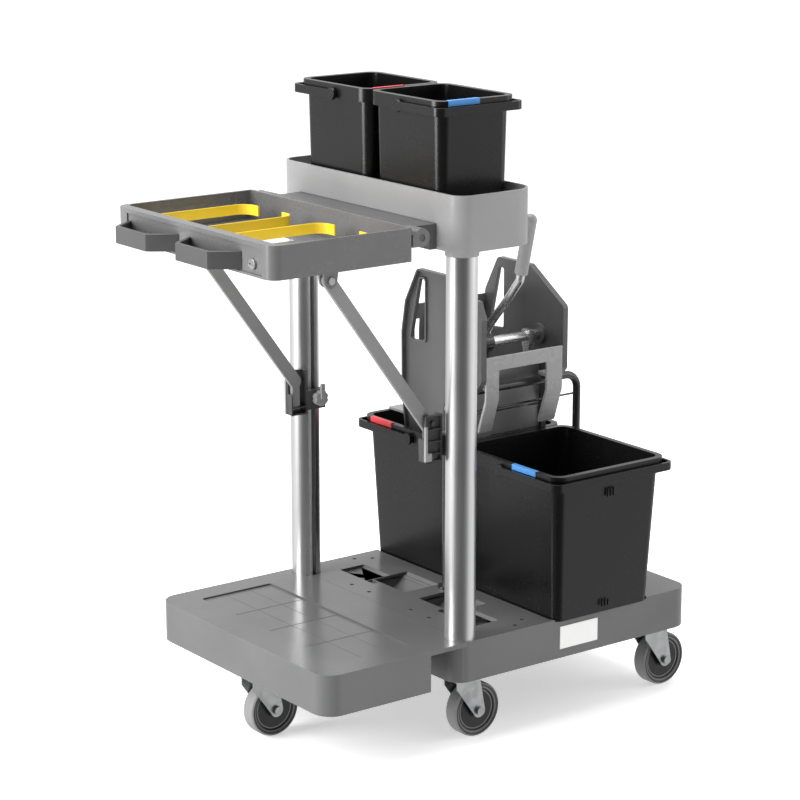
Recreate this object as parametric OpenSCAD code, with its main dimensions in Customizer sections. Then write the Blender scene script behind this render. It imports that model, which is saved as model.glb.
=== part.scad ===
// Housekeeping cart: a moulded chassis on swivel castors, a low bag platform, two slotted
// aluminium posts, a folding bag frame, a tray shelf, four buckets and a lever wringer.
// +X runs from the bag platform to the bucket end, +Y to the cart's left, +Z up.
// The origin is under the middle of the whole cart, on the floor.

/* [Base] */
// Width of the chassis and platform across the cart
base_w = 530; // [505:5:640]
// Length of the chassis from its bag end to its bucket end
chassis_l = 550; // [500:5:700]
// Length of the platform's full-depth part
platform_l = 226; // [180:2:320]
// Gap between the platform's deep part and the chassis
platform_gap = 52; // [30:2:80]
// How far the platform's flange lies over the chassis
flange_over = 26; // [16:1:40]
// Thickness of the platform's flange
flange_t = 8; // [5:1:12]
// Height of the base's top above the wheels
base_rise = 96; // [80:1:140]
// Depth of the base's skirt
skirt_h = 74; // [50:1:90]
// Wall of the base mouldings
base_wall = 4; // [3:0.5:6]
// Thickness of the base's top plate
base_plate = 8; // [6:1:12]
// Radius of the outer corners
base_corner = 35; // [20:1:60]
// Radius of the chassis corners under the flange
chassis_corner = 31; // [30:1:80]

/* [Castors] */
// Diameter of a wheel
wheel_d = 100; // [80:1:110]
// Width of a wheel
wheel_w = 30; // [22:1:36]
// Thickness of the tyre
tyre_t = 12; // [8:1:16]
// Trail of the axle behind the swivel
castor_trail = 25; // [18:1:34]
// Distance of the side castors' swivels from the base's sides
castor_side = 49; // [42:1:90]
// Distance of two castors' swivels from the chassis's bag end
castor_inset = 50; // [48:1:80]
// Distance of two castors' swivels from the chassis's bucket end
castor_inset_end = 55; // [48:1:80]
// Distance of the platform castor's swivel from the platform's end
platform_castor_inset = 42; // [40:1:90]

/* [Posts] */
// Outer diameter of a post
post_d = 54; // [46:1:60]
// Wall of a post
post_wall = 3; // [2:0.5:4]
// Width of the slot's mouth
slot_w = 8; // [6:0.5:10]

/* [Shelf] */
// Height of the shelf's underside above the floor
shelf_z = 884; // [820:1:960]
// Height of the shelf's wall
shelf_h = 97; // [80:1:120]
// Room between the shelf's wall and the upper buckets
bucket_room = 4.5; // [2:0.5:20]
// Wall of the shelf
shelf_wall = 4; // [3:0.5:6]
// Corner radius at the shelf's bucket side
shelf_corner = 44; // [20:1:60]

/* [Bag frame] */
// Length of the bag frame along the cart
frame_l = 284; // [250:2:340]
// How far the bag frame reaches past the posts' centres
frame_over = 6; // [0:1:12]
// Height of the bag frame
frame_h = 57; // [48:1:70]
// Height of the bag frame's top above the floor
frame_top = 935; // [880:1:1000]
// Wall of the bag frame
frame_wall = 6; // [4:0.5:8]
// Depth of the panel wall behind the handles
panel_d = 20; // [14:1:28]
// Radius of the hinge barrel
barrel_r = 16; // [13:1:20]
// Distance from the posts' centre line to the hinge
hinge_back = 89; // [80:1:110]
// Height of the hinge above the frame's underside
hinge_up = 38; // [28:1:42]

/* [Buckets] */
// Distance from the chassis's bucket end to the lower buckets' rims
bucket_end = 87; // [70:1:120]
// Length of a lower bucket's rim
low_l = 262; // [210:2:320]
// Width of a lower bucket's rim
low_w = 289; // [240:1:300]
// Height of a lower bucket
low_h = 274; // [220:2:320]
// Length of an upper bucket's rim
up_l = 170; // [140:1:206]
// Width of an upper bucket's rim
up_w = 206; // [180:1:212]
// Height of an upper bucket
up_h = 243; // [200:1:280]
// Wall of a bucket
bucket_wall = 3; // [2:0.5:4]

/* [Wringer] */
// Distance between the cheeks, outside to outside
wringer_l = 189; // [160:1:210]
// Height of the cheeks' top above the lower buckets' rims
wringer_rise = 301; // [250:1:350]
// Diameter of the pressing shaft
shaft_d = 18; // [14:1:22]
// Height of the shaft above the lower buckets' rims
shaft_rise = 174; // [165:1:190]
// Length of the lever's grip
grip_l = 104; // [80:1:130]
// Travel of the press plate
press_travel = 100; // [60:1:110]
// Diameter of the stand's tube
stand_d = 15; // [12:1:18]
// Height of the stand's cross tube above the lower buckets' rims
stand_rise = 94; // [80:1:104]

/* [Fits] */
// Radial clearance of a pin in its bore
pin_fit = 0.05; // [0.02:0.01:0.1]
// Gap between pieces that slide or fold past each other
slip = 0.5; // [0.3:0.1:1]

/* [Hidden] */
$fn = 48;
e = 1;                                   // overlap that joins pieces of one solid

// Plan of the base, measured from the posts' centre line
half_w = base_w / 2;
post_r = post_d / 2;
post_edge = 3;                           // from a post to the base's side
post_y = half_w - post_r - post_edge;
inner_face = post_y - post_r;            // side of a post that faces the cart's middle
base_top = wheel_d + base_rise;
chassis_x0 = -post_r - base_wall;
chassis_x1 = chassis_x0 + chassis_l;
flange_x1 = chassis_x0 + flange_over;
platform_x1 = chassis_x0 - platform_gap;
platform_x0 = platform_x1 - platform_l;
skirt_z = base_top - skirt_h;
rib_t = 3;
rib_z = skirt_z + 14;                    // lower edge of the ribs
pad_l = 84;
pad_w = 66;
floor_drop = 3;                          // depth of the platform's bag floor
hole_r = 4;                              // accessory and drain holes
accessory_x = chassis_x1 - 36;
accessory_pitch = 32;
accessory_y = half_w - 105;

// Castors
wheel_r = wheel_d / 2;
castor_y = half_w - castor_side;
plate_z = wheel_d + 28;                  // mounting face of every castor
post_z0 = plate_z + 6;                   // floor of the posts' sockets
CASTORS = [[chassis_x0 + castor_inset, castor_y], [chassis_x0 + castor_inset, -castor_y],
    [chassis_x1 - castor_inset_end, castor_y], [chassis_x1 - castor_inset_end, -castor_y],
    [platform_x0 + platform_castor_inset, 0]];

// Shelf and bag frame
lip_h = 24;                              // height of a bucket's rim
lip_w = 8;                               // overhang of a bucket's rim
socket_wall = 2.5;                       // wall between a post and the shelf's outside
shelf_x0 = -post_r - socket_wall;
shelf_x1 = shelf_x0 + up_l - 2 * lip_w + 2 * (shelf_wall + bucket_room);
shelf_y = post_y + post_r + socket_wall;
shelf_floor = 6;
frame_z0 = frame_top - frame_h;
hinge_x = -hinge_back;
hinge_z = frame_z0 + hinge_up;
frame_x1 = hinge_x - barrel_r - 2;
frame_x0 = frame_x1 - frame_l;
frame_y = post_y + frame_over;
knuckle_y = frame_y - 40;                // the housing's knuckle ends here
pin_r = 6;
handle_out = 44;
handle_w = 164;
lock_y = -frame_y + 57;
lock_z = frame_z0 + 20;
panel_y0 = lock_y - 28;                  // ends of the panel's recess
panel_y1 = frame_y - 37;
handle_centres = [panel_y1 - 1 - handle_w / 2, lock_y + 32 + handle_w / 2];
clamp_ys = [frame_y - 51, 40, -42, -frame_y + 51];
clamp_curls = [-1, 1, -1, 1];            // side to which each clamp's end curls
clamp_z = frame_top - 24;
clamp_pivot_x = frame_x0 + panel_d + 12;

// Struts
strut_t = 8;
strut_y = inner_face - strut_t;
strut_top = [frame_x0 + 139, frame_z0 - 21];
strut_foot = [-46, frame_z0 - 300];
strut_w = 24;
strut_tail = 52;
bracket_z = strut_foot[1] - 62;
bracket_h = 48;
knob_z = bracket_z + 27;

// Buckets
lower_x0 = chassis_x1 - bucket_end - low_l;
lower_mid = lower_x0 + low_l / 2;
upper_mid = (shelf_x0 + shelf_x1) / 2 + 1;
well_depth = 4;
lower_z = base_top - well_depth;
rim_z = lower_z + low_h;                // top of the lower buckets
low_taper = 13;
up_taper = 5;
upper_z = shelf_z + shelf_floor;
rim_gap = 1.5;                           // from the centre line to a bucket's rim
bail_t = 6;
bail_h = 15;
bail_gap = 2.5;
bail_r = 16;

// Wringer, with its outline in the Y-Z plane
wringer_shift = 2.5;
seat = 0.3;                              // gap between pieces that rest on each other
wringer_x0 = lower_mid - wringer_l / 2 + wringer_shift;
wringer_x1 = wringer_x0 + wringer_l;
cheek_t = 4;
cheek_flange = 12;
shaft_y = 30;
front_y = -38;
wringer_top = rim_z + wringer_rise;
shaft_z = rim_z + shaft_rise;
stand_z = rim_z + stand_rise;
basket_z = rim_z - 62;
arch_z = rim_z + 137;
cheek_points = [[157, wringer_top], [62, wringer_top], [front_y, wringer_top - 64],
    [front_y, rim_z + 119], [20, rim_z + 49], [24, basket_z], [186, basket_z], [204, rim_z + 54],
    [205, shaft_z], [194, wringer_top - 67]];
cheek_slot = [[153, wringer_top - 19], [138, wringer_top - 19], [138, shaft_z - 8], [182, shaft_z - 12]];
lever_x = wringer_x0 + 51;
lever_r = 8;
lever_path = [[shaft_y - 2, shaft_z + 16], [shaft_y - 30, shaft_z + 52], [shaft_y - 75, shaft_z + 100],
    [shaft_y - 106, shaft_z + 147]];
grip_dir = [-24, 98] / norm([24, 98]);
press_y = 28;
stand_x0 = lower_x0 - bail_gap - bail_t - slip - stand_d / 2 - 2;
stand_x1 = lower_x0 + low_l + bail_gap + bail_t + stand_d / 2 + 14;
stand_bend = 28;
rod_z = stand_z - 38;
stand_top = stand_z + stand_d / 2 + seat;

// The whole cart is centred on its own length
x_mid = (frame_x0 - handle_out + CASTORS[2][0] + castor_trail + wheel_r) / 2;

// ---- shared shapes ----

// Points of an arc about c
function arc(c, r, a0, a1, n = 6) = [for (i = [0:n]) let (a = a0 + (a1 - a0) * i / n)
    [c[0] + r * cos(a), c[1] + r * sin(a)]];

// Rounded rectangle; ra rounds the low-x corners and rb the high-x ones
function rrect(x0, x1, y0, y1, ra, rb) = concat(
    arc([x1 - rb, y1 - rb], rb, 0, 90), arc([x0 + ra, y1 - ra], ra, 90, 180),
    arc([x0 + ra, y0 + ra], ra, 180, 270), arc([x1 - rb, y0 + rb], rb, 270, 360));

function unit(v) = v / norm(v);
function at(v, i) = v[(i + len(v)) % len(v)];

// Moves every edge of an anticlockwise outline inwards by d
function inset(p, d) = [for (i = [0:len(p) - 1])
    let (a = unit(p[i] - at(p, i - 1)), b = unit(at(p, i + 1) - p[i]),
        na = [-a[1], a[0]], nb = [-b[1], b[0]])
    p[i] + (na + nb) * d / (1 + na * nb)];

// Outline with each corner rounded to radius r, for a convex outline
function soft(p, r, n = 4) = [for (i = [0:len(p) - 1])
    let (a = unit(at(p, i - 1) - p[i]), b = unit(at(p, i + 1) - p[i]),
        half = acos(a * b) / 2, m = unit(a + b), c = p[i] + m * r / sin(half),
        t0 = p[i] + a * r / tan(half), t1 = p[i] + b * r / tan(half),
        g0 = atan2(t0[1] - c[1], t0[0] - c[0]), g1 = atan2(t1[1] - c[1], t1[0] - c[0]),
        turn = (g1 - g0 + 540) % 360 - 180)
    each arc(c, r, g0, g0 + turn, n)];

// Closed loft through rings of equal length, from the first ring's cap to the last ring's
module loft(rings) {
    n = len(rings[0]);
    polyhedron(points = [for (r = rings) each r],
        faces = concat([[for (i = [0:n - 1]) i]],
            [for (k = [0:len(rings) - 2]) for (i = [0:n - 1])
                each [[k * n + i, (k + 1) * n + i, (k + 1) * n + (i + 1) % n],
                    [k * n + i, (k + 1) * n + (i + 1) % n, k * n + (i + 1) % n]]],
            [[for (i = [n - 1:-1:0]) (len(rings) - 1) * n + i]]), convexity = 6);
}

function lift(p, z) = [for (q = p) [q[0], q[1], z]];

// Extrudes an outline given in X-Z along Y, from y0 by t
module side(y0, t) translate([0, y0 + t, 0]) rotate([90, 0, 0]) linear_extrude(t) children();
// Extrudes an outline given in Y-Z along X, from x0 by t
module across(x0, t) translate([x0, 0, 0]) rotate([90, 0, 90]) linear_extrude(t) children();
module box(lo, hi) translate(lo) cube(hi - lo);
module rod_y(x, z, y0, y1, r) translate([x, y0, z]) rotate([-90, 0, 0]) cylinder(r = r, h = y1 - y0);
module rod_x(y, z, x0, x1, r) translate([x0, y, z]) rotate([0, 90, 0]) cylinder(r = r, h = x1 - x0);
module centred() translate([-x_mid, 0, 0]) children();
module mirrored() for (s = [-1, 1]) scale_y(s) children();
module scale_y(s) mirror([0, s < 0 ? 1 : 0, 0]) children();

// Round tube at x along points in the Y-Z plane
module bent_tube(x, p, r, n = 16) loft([for (i = [0:len(p) - 1])
    let (d = unit(p[min(i + 1, len(p) - 1)] - p[max(i - 1, 0)]))
    [for (k = [0:n - 1]) let (a = -360 * k / n)
        [x + r * cos(a), p[i][0] - r * sin(a) * d[1], p[i][1] + r * sin(a) * d[0]]]]);

// Smooth curve through points, with n steps between each two
function curve(p, n = 5) = concat([for (i = [0:len(p) - 2]) for (k = [0:n - 1])
    let (t = k / n, a = p[max(i - 1, 0)], b = p[i], c = p[i + 1], d = p[min(i + 2, len(p) - 1)])
    b + 0.5 * t * ((c - a) + t * (2 * a - 5 * b + 4 * c - d + t * (3 * (b - c) + d - a)))], [p[len(p) - 1]]);

// ---- base ----

// Hollow moulding, open below
module shell_base(outline, inner, z0, z1) difference() {
    translate([0, 0, z0]) linear_extrude(z1 - z0) polygon(outline);
    translate([0, 0, z0 - e]) linear_extrude(z1 - z0 - base_plate + e) polygon(inner);
}

module rib(lo, hi) box([lo[0], lo[1], rib_z], [hi[0], hi[1], base_top - base_plate + e]);

module castor_pad(p) translate([p[0], p[1], plate_z])
    linear_extrude(base_top - base_plate - plate_z + e) square([pad_l, pad_w], center = true);

well_in = lip_w + low_taper - 4;         // from a lower bucket's rim to the edge of its well
wells = rrect(lower_x0 + well_in, lower_x0 + low_l - well_in, rim_gap + well_in,
    rim_gap + low_w - well_in, 22, 22);
trays = [rrect(56, 112, 96, 204, 6, 6), rrect(72, 152, 20, 120, 6, 6)];
drains = [[118, half_w - 22], [22, 64], [22, 118], [148, half_w - 39]];

module chassis() color("dimgray") centred() difference() {
    union() {
        shell_base(rrect(chassis_x0, chassis_x1, -half_w, half_w, chassis_corner, base_corner),
            rrect(chassis_x0 + base_wall, chassis_x1 - base_wall, -half_w + base_wall,
                half_w - base_wall, chassis_corner - base_wall, base_corner - base_wall),
            skirt_z, base_top);
        // ribs under the top plate
        for (x = [70:120:chassis_x1 - 60])
            rib([x, -half_w + base_wall - e], [x + rib_t, half_w - base_wall + e]);
        rib([chassis_x0 + base_wall - e, -2], [chassis_x1 - base_wall + e, 2]);
        for (i = [0:3]) castor_pad(CASTORS[i]);
        // sockets for the posts, and the seat under the flange
        mirrored() intersection() {
            translate([0, post_y, plate_z])
                cylinder(r = post_r + 4, h = base_top - base_plate + e - plate_z);
            box([chassis_x0 + base_wall - e, 0, 0], [post_r + 10, half_w - base_wall + e, base_top]);
        }
        box([chassis_x0 + 12, -inner_face + 38, base_top - 2 * flange_t],
            [flange_x1 + 12, inner_face - 38, base_top - flange_t]);
    }
    // posts, flange seat, bucket wells, tool trays, drains and accessory holes
    mirrored() translate([0, post_y, post_z0]) cylinder(r = post_r + 0.3, h = base_top);
    box([chassis_x0 - e, -half_w - e, base_top - flange_t - 0.3],
        [flange_x1 + slip, half_w + e, base_top + e]);
    mirrored() {
        sunk(well_depth) polygon(wells);
        for (t = trays) sunk(5) polygon(t);
        for (p = drains) drilled(p);
        for (x = [-accessory_pitch / 2, accessory_pitch / 2]) drilled([accessory_x + x, accessory_y]);
    }
}
// Cut into the base's top, to the given depth
module sunk(depth) translate([0, 0, base_top - depth]) linear_extrude(depth + e) children();
// Hole through the base's top plate
module drilled(p) translate([p[0], p[1], base_top - base_plate - e])
    cylinder(r = hole_r, h = base_plate + 2 * e);

module platform() color("gray") centred() {
    zf = base_top - flange_t;
    difference() {
        union() {
            shell_base(rrect(platform_x0, platform_x1, -half_w, half_w, base_corner, 6),
                rrect(platform_x0 + base_wall, platform_x1 - base_wall, -half_w + base_wall,
                    half_w - base_wall, base_corner - base_wall, 4), skirt_z, base_top);
            box([platform_x1 - 20, -half_w, zf], [flange_x1, half_w, base_top]);
            for (y = [-half_w / 2, 0, half_w / 2])
                rib([platform_x0 + base_wall - e, y - rib_t / 2],
                    [platform_x1 - base_wall + e, y + rib_t / 2]);
            castor_pad(CASTORS[4]);
        }
        // shallow bag floor and the posts' holes
        sunk(floor_drop)
            polygon(rrect(platform_x0 + 62, platform_x1 - 12, -half_w + 50, half_w - 50, 6, 6));
        mirrored() translate([0, post_y, zf - e]) cylinder(r = post_r + slip, h = flange_t + 2 * e);
    }
}

label_t = 1.2;
module label_plate() color("white") centred()
    side(-half_w - label_t, label_t) translate([248, base_top - 36]) square([88, 42], center = true);

plate_l = 60;
plate_w = 54;
bolt_x = 23;
bolt_y = 20;
// Screwed plates, swivel pins and their rivet heads
module castor_plates() color("silver") centred() for (p = CASTORS) translate([p[0], p[1], 0]) {
    difference() {
        translate([-plate_l / 2, -plate_w / 2, plate_z - 4]) cube([plate_l, plate_w, 4]);
        for (x = [-bolt_x, bolt_x], y = [-bolt_y, bolt_y])
            translate([x, y, plate_z - 5]) cylinder(r = 3.2, h = 6);
    }
    translate([0, 0, wheel_d + 8.5]) cylinder(r = 6, h = plate_z - wheel_d - 10);
    translate([0, 0, wheel_d + 5]) cylinder(r = 10, h = 4);
    for (x = [-bolt_x, bolt_x], y = [-bolt_y, bolt_y]) translate([x, y, plate_z - 8]) {
        cylinder(r = 5.5, h = 4);
        cylinder(r = 3.1, h = 7.9);
    }
}

fork_gap = wheel_w / 2 + 2;
module fork(i) color("silver") centred() translate([CASTORS[i][0], CASTORS[i][1], 0]) {
    top = wheel_d + 13;
    side_shape = concat(arc([castor_trail, wheel_r], 13, -160, 20, 8),
        [[26, top], [-24, top], [-24, top - 16]]);
    difference() {
        union() {
            for (y = [-fork_gap - 3, fork_gap]) side(y, 3) polygon(side_shape);
            translate([-24, -fork_gap - 3, top - 3]) cube([50, 2 * fork_gap + 6, 3]);
            translate([0, 0, top - e]) cylinder(r = 24, h = plate_z - 4 - slip - top + e);
            rod_y(castor_trail, wheel_r, -fork_gap - 8, fork_gap + 8, 5);
            for (y = [-fork_gap - 9, fork_gap + 3]) rod_y(castor_trail, wheel_r, y, y + 6, 8);
        }
        translate([0, 0, top - 20]) cylinder(r = 6 + pin_fit, h = 60);
    }
}

// Places a wheel's piece, made round Z, on its axle
module on_axle(i)
    translate([CASTORS[i][0] + castor_trail, CASTORS[i][1], wheel_r])
    rotate([90, 0, 0])
    children();

module hub(i) color("black") centred() on_axle(i) difference() {
    union() {
        cylinder(r = wheel_r - tyre_t, h = wheel_w - 10, center = true);
        cylinder(r = 15, h = wheel_w, center = true);
    }
    cylinder(r = 5 + pin_fit, h = 80, center = true);
}

module tyre(i) color("lightgray") centred() on_axle(i) rotate_extrude($fn = 96) {
    r = wheel_r - tyre_t;
    w = wheel_w / 2;
    polygon(concat([[r, -w + 4]], arc([wheel_r - 5, -w + 5], 5, -90, 0, 4),
        arc([wheel_r - 5, w - 5], 5, 0, 90, 4), [[r, w - 4]]));
}

// ---- posts, shelf and hinge ----

// A round tube with a channel for sliding nuts on the side towards the cart's middle
module post_profile() difference() {
    union() {
        difference() {
            circle(r = post_r);
            circle(r = post_r - post_wall);
        }
        intersection() {
            circle(r = post_r - 1);
            translate([-slot_w - 6, -post_r]) square([2 * slot_w + 12, 16]);
        }
    }
    translate([-slot_w / 2, -post_r - 5]) square([slot_w, 9]);
    translate([-slot_w, -post_r + 3.5]) square([2 * slot_w, 8]);
}

module post(s) color("silver") centred() scale_y(s) translate([0, post_y, post_z0 + 0.3])
    linear_extrude(shelf_z + 60 - post_z0) post_profile();

module shelf() color("gray") centred() {
    outline = rrect(shelf_x0, shelf_x1, -shelf_y, shelf_y, post_r + socket_wall, shelf_corner);
    difference() {
        union() {
            difference() {
                translate([0, 0, shelf_z]) linear_extrude(shelf_h) polygon(outline);
                translate([0, 0, shelf_z + shelf_floor]) linear_extrude(shelf_h) polygon(
                    rrect(shelf_x0 + shelf_wall, shelf_x1 - shelf_wall, -shelf_y + shelf_wall,
                        shelf_y - shelf_wall, post_r - 1.5, shelf_corner - shelf_wall));
            }
            // sockets for the posts, closed above
            mirrored() intersection() {
                translate([0, post_y, shelf_z - 8]) cylinder(r = post_r + socket_wall - 0.1, h = 76);
                translate([0, 0, shelf_z - 20]) linear_extrude(200) polygon(rrect(shelf_x0 + 0.05, shelf_x1,
                    -shelf_y + 0.05, shelf_y - 0.05, post_r + socket_wall - 0.05, shelf_corner));
            }
        }
        mirrored() translate([0, post_y, shelf_z - 20]) cylinder(r = post_r + 0.3, h = 81);
        // recess for the hinge housing
        box([shelf_x0 - e, -housing_y - slip, shelf_z - e],
            [shelf_x0 + shelf_wall + e, housing_y + slip, housing_z + slip]);
    }
}

housing_y = inner_face - 6;
housing_z = hinge_z + 12;
// Slab from the shelf to the hinge, with one long knuckle
module hinge_housing() color("dimgray") centred() difference() {
    union() {
        box([hinge_x, -knuckle_y, hinge_z + 4], [shelf_x0 + shelf_wall - 0.2, knuckle_y, housing_z]);
        box([shelf_x0 - 14, -housing_y, shelf_z + 0.3], [shelf_x0 + shelf_wall - 0.2, housing_y, housing_z]);
        rod_y(hinge_x, hinge_z, -knuckle_y, knuckle_y, barrel_r);
        for (y = [-150, -50, 50, 150])
            box([hinge_x, y - 2, hinge_z - 12], [shelf_x0 - 13, y + 2, hinge_z + 5]);
    }
    rod_y(hinge_x, hinge_z, -knuckle_y - e, knuckle_y + e, pin_r + pin_fit);
}

module hinge_pin() color("silver") centred() {
    rod_y(hinge_x, hinge_z, -frame_y + 1, frame_y - 1, pin_r);
}

// ---- bag frame ----

module bag_frame() color("gray") centred() {
    inner_x0 = frame_x0 + panel_d;
    inner_x1 = frame_x1 - frame_wall;
    inner_y = frame_y - frame_wall;
    difference() {
        union() {
            difference() {
                translate([0, 0, frame_z0]) linear_extrude(frame_h)
                    polygon(rrect(frame_x0, frame_x1, -frame_y, frame_y, 21, 8));
                translate([0, 0, frame_z0 + 5]) linear_extrude(frame_h)
                    polygon(rrect(inner_x0, inner_x1, -inner_y, inner_y, 12, 4));
            }
            // end knuckles and the webs that carry them
            mirrored() {
                rod_y(hinge_x, hinge_z, knuckle_y + slip, frame_y, barrel_r);
                box([frame_x1 - e, knuckle_y + slip, hinge_z - barrel_r + 1],
                    [hinge_x, frame_y, hinge_z + 8]);
            }
            // clevises for the struts, under the frame
            mirrored() for (y = [strut_y - strut_t / 2 - slip - 4, strut_y + strut_t / 2 + slip])
                side(y, 4) polygon(concat([[strut_top[0] + 16, frame_z0 + 2],
                    [strut_top[0] - 16, frame_z0 + 2]], arc(strut_top, 13, 180, 360, 8)));
            // lugs for the bag clamps
            for (y = clamp_ys) for (d = [-6 - slip, 3 + slip])
                box([inner_x0 - e, y + d, clamp_z - 8], [clamp_pivot_x + 7, y + d + 3, clamp_z + 8]);
        }
        // two bag openings through the ledge
        mirrored() translate([0, 0, frame_z0 - e]) linear_extrude(8)
            polygon(rrect(bag_x0, bag_x1, bag_y0, bag_y1, 14, 22));
        // recess of the handle panel, and the lock's bore
        box([frame_x0 - e, panel_y0, frame_z0 + 4], [frame_x0 + 3, panel_y1, frame_top - 8]);
        rod_x(lock_y, lock_z, frame_x0 - e, frame_x0 + panel_d + e, 9 + pin_fit);
        rod_y(hinge_x, hinge_z, -frame_y - e, frame_y + e, pin_r + pin_fit);
        mirrored() rod_y(strut_top[0], strut_top[1], strut_y - 20, strut_y + 20, 4 + pin_fit);
        for (y = clamp_ys) rod_y(clamp_pivot_x, clamp_z, y - 12, y + 12, 2.5 + pin_fit);
    }
}
bag_x0 = frame_x0 + panel_d + 12;
bag_x1 = frame_x1 - 50;
bag_y0 = 13;
bag_y1 = frame_y - 20;

// Two bowed grab handles on the panel
module bag_handles() color("dimgray") centred() for (c = handle_centres) translate([0, c, frame_z0 + 6]) {
    root = frame_x0 + 3;
    out = frame_x0 - handle_out;
    w = handle_w / 2;
    outer = [[root, -w], [root, w], [out + 9, w - 26], [out, w - 34], [out, -w + 34], [out + 9, -w + 26]];
    inner = [[root + e, -w + 7], [root + e, w - 7], [out + 12, w - 33], [out + 7, w - 38],
        [out + 7, -w + 38], [out + 12, -w + 33]];
    linear_extrude(30) difference() {
        polygon(outer);
        polygon(inner);
    }
    linear_extrude(3) polygon(outer);
}

module lock_cylinder() color("black") centred() difference() {
    rod_x(lock_y, lock_z, frame_x0 - 1, frame_x0 + panel_d - 1, 9);
    box([frame_x0 - 2, lock_y - 7, lock_z - 1.2], [frame_x0 + 1, lock_y + 7, lock_z + 1.2]);
}

// A strip that lies along the cart and curls inwards at its end
module bag_clamp(i) color("gold") centred() {
    s = clamp_curls[i];
    r = 26;
    x1 = bag_x1 + 6 - r;
    strip = concat([[clamp_pivot_x, -1.5]], arc([x1, r - 1.5], r, -90, 0, 8), [[x1 + r, 38]],
        [[x1 + r - 3, 38]], arc([x1, r - 1.5], r - 3, 0, -90, 8), [[clamp_pivot_x, 1.5]]);
    translate([0, clamp_ys[i], 0]) scale_y(s) {
        translate([0, 0, clamp_z - 8]) linear_extrude(18) polygon(strip);
        rod_y(clamp_pivot_x, clamp_z, -8, 8, 2.5);
        rod_y(clamp_pivot_x, clamp_z, -2.6, 2.6, 8);
    }
}

// ---- struts and their brackets ----

// Flat bar with an eye at the frame and a straight tail that drops into the bracket
module strut(s) color("gray") centred() scale_y(s) {
    d = unit(strut_foot - strut_top);
    a = atan2(d[1], d[0]);
    difference() {
        side(strut_y - strut_t / 2, strut_t) union() {
            polygon(concat(arc(strut_top, strut_w / 2, a + 90, a + 270, 10),
                arc(strut_foot, strut_w / 2, a - 90, a + 90, 10)));
            translate(strut_foot - [8, strut_tail]) square([16, strut_tail]);
        }
        rod_y(strut_top[0], strut_top[1], 0, 400, 4 + pin_fit);
    }
}

module strut_pins() color("silver") centred() mirrored() {
    y1 = strut_y + strut_t / 2 + slip + 4;
    rod_y(strut_top[0], strut_top[1], 2 * strut_y - y1, y1, 4);
    rod_y(strut_top[0], strut_top[1], y1 + 0.01, y1 + 3, 6.5);
}

// Socket for the strut's tail, with a nut that slides in the post's channel
module bracket(s) color("black") centred() scale_y(s) {
    y0 = strut_y - 9;
    y1 = inner_face - slip;
    difference() {
        union() {
            box([strut_foot[0] - 13, y0, bracket_z], [16, y1, bracket_z + bracket_h]);
            box([-slot_w / 2 + slip, y1 - e, bracket_z + 4],
                [slot_w / 2 - slip, inner_face + 5, bracket_z + bracket_h - 4]);
            box([-slot_w + slip, inner_face + 4, bracket_z + 4],
                [slot_w - slip, inner_face + 10.5, bracket_z + bracket_h - 4]);
        }
        box([strut_foot[0] - 8 - slip, strut_y - strut_t / 2 - slip, bracket_z + 6],
            [strut_foot[0] + 8 + slip, strut_y + strut_t / 2 + slip, bracket_z + 60]);
        rod_y(0, knob_z, y0 - e, inner_face + 3, 3 + pin_fit);
    }
}

module knob(s) color("black") centred() scale_y(s) {
    y0 = strut_y - 9 - slip;
    rod_y(0, knob_z, y0 - e, inner_face - 2, 3);
    difference() {
        rod_y(0, knob_z, y0 - 12, y0, 14);
        for (a = [0:60:300]) rod_y(16 * cos(a), knob_z + 16 * sin(a), y0 - 12 - e, y0 + e, 4);
    }
    box([-4, y0 - 16, knob_z], [4, y0 - 11, knob_z + 28]);
}

// ---- buckets ----

// Tapered bucket with a downturned rim, and stub pins for its bail
module bucket(xm, l, w, h, z, taper, piv) {
    x0 = xm - l / 2;
    x1 = xm + l / 2;
    y0 = rim_gap;
    y1 = rim_gap + w;
    t = bucket_wall;
    g = lip_w;
    zt = z + h;
    function ring(d, z, r) = lift(rrect(x0 + d, x1 - d, y0 + d, y1 - d, r, r), z);
    loft([ring(g + taper, z, 16), ring(g, zt - 3, 20), ring(2.5, zt - 3, 24), ring(2.5, zt - lip_h, 24),
        ring(0, zt - lip_h, 26), ring(0, zt, 26), ring(g + t, zt, 18), ring(g + t + taper, z + t, 14)]);
    for (x = [x0 - bail_gap - bail_t, x1 - 1]) rod_x(piv, zt - lip_h + 7, x, x + bail_gap + bail_t + 1, 4);
}

// Strap that swings about the rim's stub pins and lies round the bucket's outer side
module bail(xm, l, w, h, z, piv) {
    x0 = xm - l / 2 - bail_gap - bail_t;
    x1 = xm + l / 2 + bail_gap + bail_t;
    y1 = rim_gap + w + bail_gap + bail_t;
    pz = z + h - lip_h + 7;
    function bow(d, y) = concat([[x0 + d, y], [x1 - d, y]],
        arc([x1 - bail_r, y1 - bail_r], bail_r - d, 0, 90),
        arc([x0 + bail_r, y1 - bail_r], bail_r - d, 90, 180));
    difference() {
        union() {
            translate([0, 0, pz - bail_h / 2]) linear_extrude(bail_h) difference() {
                polygon(bow(0, piv));
                polygon(bow(bail_t, piv - e));
            }
            for (x = [x0, x1 - bail_t]) rod_x(piv, pz, x, x + bail_t, 11);
        }
        for (x = [x0, x1 - bail_t]) rod_x(piv, pz, x - e, x + bail_t + e, 4 + pin_fit);
    }
}
low_pivot = rim_gap + low_w / 2 - 10;
up_pivot = rim_gap + up_w / 2 - 8;

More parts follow.
